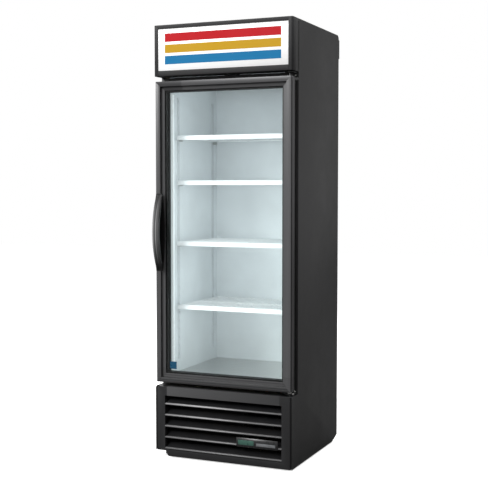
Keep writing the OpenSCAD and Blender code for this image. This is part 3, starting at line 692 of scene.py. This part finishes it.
def build_gasket(bm):
    """The magnetic gasket: a foot in the frame, a folded bellows and a flat sealing face."""
    profile = [
        (14, 58.1), (36, 58.1), (37.5, 59), (36.5, 61.2), (32, 62), (30, 63.5), (32.6, 65.4), (30, 67.2),
        (32.6, 69.2), (31.8, 71.5), (31.6, 73.6), (30.6, 74.3), (15.4, 74.3), (14.2, 73.4), (13.6, 71.2),
        (15.8, 69.2), (13.2, 67.2), (15.8, 65.4), (13.4, 63.4), (14.4, 61.4), (12.6, 60.2), (12.8, 58.8)]
    add_ring(bm, profile, 333.0, 354.0, 1741.5)


def coil_limits(node):
    """A node's box in millimetres, in the row frame."""
    low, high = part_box(node)
    return [(a / MM, b / MM) for a, b in zip(low, high)]


def add_fins(bm, x, y, z, pitch):
    count = int((x[1] - x[0] - 8) / pitch)
    for i in range(count + 1):
        here = x[0] + 4 + i * (x[1] - x[0] - 8) / count
        add_block(bm, (here - 0.2, here + 0.2), (y[0] + 1.5, y[1] - 1.5), (z[0] + 2, z[1] - 2))


def add_coil_tubes(bm, x, y, z, radius, rows, pitch):
    """Tubes through the fins with a bend at each end, wound to and fro."""
    count = int((z[1] - z[0] - 2 * pitch) / pitch) + 1
    start = (z[0] + z[1]) / 2 - (count - 1) * pitch / 2
    inside = (x[0] + 9, x[1] - 9)
    for row in range(rows):
        deep = y[0] + (y[1] - y[0]) * (row + 0.5) / rows
        for i in range(count):
            up = start + i * pitch
            add_rod(bm, (inside[0], deep, up), (inside[1], deep, up), radius, 10)
            if i + 1 < count:
                side = i % 2
                edge, way = inside[side], (-1, 1)[side]
                half = pitch / 2
                bend = [(edge + way * half * math.sin(t) * 0.72, deep, up + half - half * math.cos(t))
                        for t in (math.pi * k / 8 for k in range(9))]
                add_bent_rod(bm, bend, radius, 8)


def make_coil(node, fin_material, tube_material, body, pitch, rows, tube_pitch):
    x, y, z = coil_limits(node)
    y = (y[0] - FRONT_Y, y[1] - FRONT_Y)
    end = 1.6

    def fins(bm):
        inner = (x[0] + 9, x[1] - 9)
        add_fins(bm, inner, y, z, pitch)
        for side in inner:
            add_block(bm, (side - end, side + end), y, z)

    new_piece(node + "_fins", fins, fin_material, body, (node,))
    tubes = new_piece(
        node + "_tubes", lambda bm: add_coil_tubes(bm, x, y, z, 4.2, rows, tube_pitch),
        tube_material, body)
    smooth(tubes, 40.0)


def build_fan_guard(bm, centre, radii, reach):
    """Wire rings and spokes in front of a fan."""
    for radius in radii:
        add_wire_ring(bm, centre, radius, 1.1)
    for k in range(4):
        a = math.pi / 4 + k * math.pi / 2
        tip = (centre[0] + reach * math.cos(a), centre[1] + 1.6, centre[2] + reach * math.sin(a))
        root = (centre[0] + radii[0] * math.cos(a), centre[1] + 1.6, centre[2] + radii[0] * math.sin(a))
        add_rod(bm, root, tip, 1.4, 10)


def build_rear_screws(bm):
    """Screws round the back panel and the machine compartment's rear cover."""
    for side in (-1, 1):
        for z in (372, 640, 908, 1176, 1444, 1712, 1960):
            add_screw(bm, side * 326, 632, z, 4.2, 2.4)
    for x in (-218, -73, 73, 218):
        add_screw(bm, x, 632, 1972, 4.2, 2.4)
        add_screw(bm, x, 632, 348, 4.2, 2.4)


def build_seam(bm):
    """Thin black strips between the header and the side panels."""
    for side in (-1, 1):
        add_block(bm, sorted((side * 339.9, side * 340.5)), (70, 80), (1767, 1985))


def build_label_beads(bm):
    """The label rails' upper and lower lips, which hold a paper strip."""
    for top in (1499, 1289, 1003, 703):
        for z in (top - 0.4, top - 18.6):
            add_rod(bm, (-285.6, 121.4, z), (285.6, 121.4, z), 1.3, 8)


def build_shade_sheet(bm):
    """A dark sheet behind the rear cover's slots, standing in as painted shade for the dark machine
    compartment.
    """
    add_block(bm, (-318, 318), (612, 616), (44, 328))


def build_bracket_screws(bm):
    for x in (300, 326):
        add_screw(bm, x, 71, 345.5, 4.4, -2.6)
        add_screw(bm, x, 71, 1750, 4.4, -2.6)


smooth(new_piece("pull", build_handle, "handle", "door", ("door_handle",)), 32.0)
smooth(new_piece("gasket_bellows", build_gasket, "rubber", "door", ("door_gasket",)), 50.0)
make_coil("condenser_coil", "coil_black", "gloss_black", "cabinet", 3.4, 2, 25.0)
make_coil("evaporator_coil", "fin_stock", "copper", "cabinet", 4.6, 3, 25.0)
smooth(new_piece(
    "evaporator_fan_guard",
    lambda bm: build_fan_guard(bm, (0.0, 118.0, 1835.0), (14.0, 32.0, 50.0, 68.0), 78.0),
    "zinc", "cabinet"), 40.0)
smooth(new_piece("rear_screws", build_rear_screws, "zinc", "cabinet"), 30.0)
# A dark sheet as painted shade behind the rear slots
new_piece("shade_sheet", build_shade_sheet, "coil_black", "cabinet")
smooth(new_piece("bracket_screws", build_bracket_screws, "zinc", "cabinet"), 30.0)
new_piece("header_seams", build_seam, "rubber", "cabinet")
smooth(new_piece("label_beads", build_label_beads, "label", "cabinet"), 40.0)


# ---------------------------------------------------------------------------
# Stage, light and camera
# ---------------------------------------------------------------------------


def make_stage():
    mesh = bpy.data.meshes.new("floor")
    bm = bmesh.new()
    bmesh.ops.create_grid(bm, x_segments=1, y_segments=1, size=14.0)
    bm.to_mesh(mesh)
    bm.free()
    floor = bpy.data.objects.new("floor", mesh)
    bpy.context.scene.collection.objects.link(floor)
    s = Shader("floor_paint")
    seen = s.add("ShaderNodeLightPath").outputs["Is Camera Ray"]
    s.colour(s.blend(seen, (0.12, 0.12, 0.12), (0.92, 0.92, 0.92)))
    s.rough(0.8)
    s.bsdf.inputs["Emission Color"].default_value = (1.0, 1.0, 1.0, 1.0)
    s.put(s.math("MULTIPLY", seen, 0.74), s.bsdf.inputs["Emission Strength"])
    floor.data.materials.append(s.mat)


def area_light(name, place, aim, size, power, colour=(1.0, 1.0, 1.0)):
    light = bpy.data.lights.new(name, "AREA")
    light.shape = "RECTANGLE"
    light.size, light.size_y = size
    light.energy = power
    light.color = colour
    made = bpy.data.objects.new(name, light)
    made.location = place
    made.rotation_euler = (Vector(aim) - Vector(place)).to_track_quat("-Z", "Y").to_euler()
    bpy.context.scene.collection.objects.link(made)
    return made


def make_light():
    world = bpy.data.worlds.new("studio")
    world.use_nodes = True
    tree = world.node_tree
    soft = tree.nodes["Background"]
    soft.inputs["Color"].default_value = (1.0, 1.0, 1.0, 1.0)
    soft.inputs["Strength"].default_value = 0.3
    seen = tree.nodes.new("ShaderNodeBackground")
    seen.inputs["Color"].default_value = (1.0, 1.0, 1.0, 1.0)
    seen.inputs["Strength"].default_value = 1.0
    path = tree.nodes.new("ShaderNodeLightPath")
    both = tree.nodes.new("ShaderNodeMixShader")
    tree.links.new(path.outputs["Is Camera Ray"], both.inputs[0])
    tree.links.new(soft.outputs[0], both.inputs[1])
    tree.links.new(seen.outputs[0], both.inputs[2])
    tree.links.new(both.outputs[0], tree.nodes["World Output"].inputs["Surface"])
    bpy.context.scene.world = world
    area_light("overhead", (0.0, 0.0, 4.2), (0, 0, 0), (6.5, 6.5), 260.0)
    area_light("front", (-2.7, -4.9, 4.3), (0, 0, 0.3), (1.8, 2.4), 330.0)
    area_light("back", (-1.5, 4.2, 2.6), (0, 0, 1.0), (2.6, 2.0), 50.0)
    inside = area_light(
        "cabinet_glow", at(0, 80, 1060), at(0, 560, 1060), (0.54, 1.3), 3.4, (0.94, 0.97, 1.0))
    inside.visible_camera = False
    inside.visible_glossy = False
    bpy.context.scene.view_settings.view_transform = "Standard"


def make_camera():
    yaw, pitch = math.radians(-23.507), math.radians(-3.168)
    camera = bpy.data.objects.new("camera", bpy.data.cameras.new("camera"))
    camera.data.sensor_width = 36.0
    camera.data.lens = 74.97
    camera.data.clip_end = 60.0
    camera.location = (1.9133, -4.4439, 1.2562)
    look = Vector((math.sin(yaw) * math.cos(pitch), math.cos(yaw) * math.cos(pitch), math.sin(pitch)))
    camera.rotation_euler = look.to_track_quat("-Z", "Y").to_euler()
    bpy.context.scene.collection.objects.link(camera)
    bpy.context.scene.camera = camera


make_stage()
make_light()
make_camera()
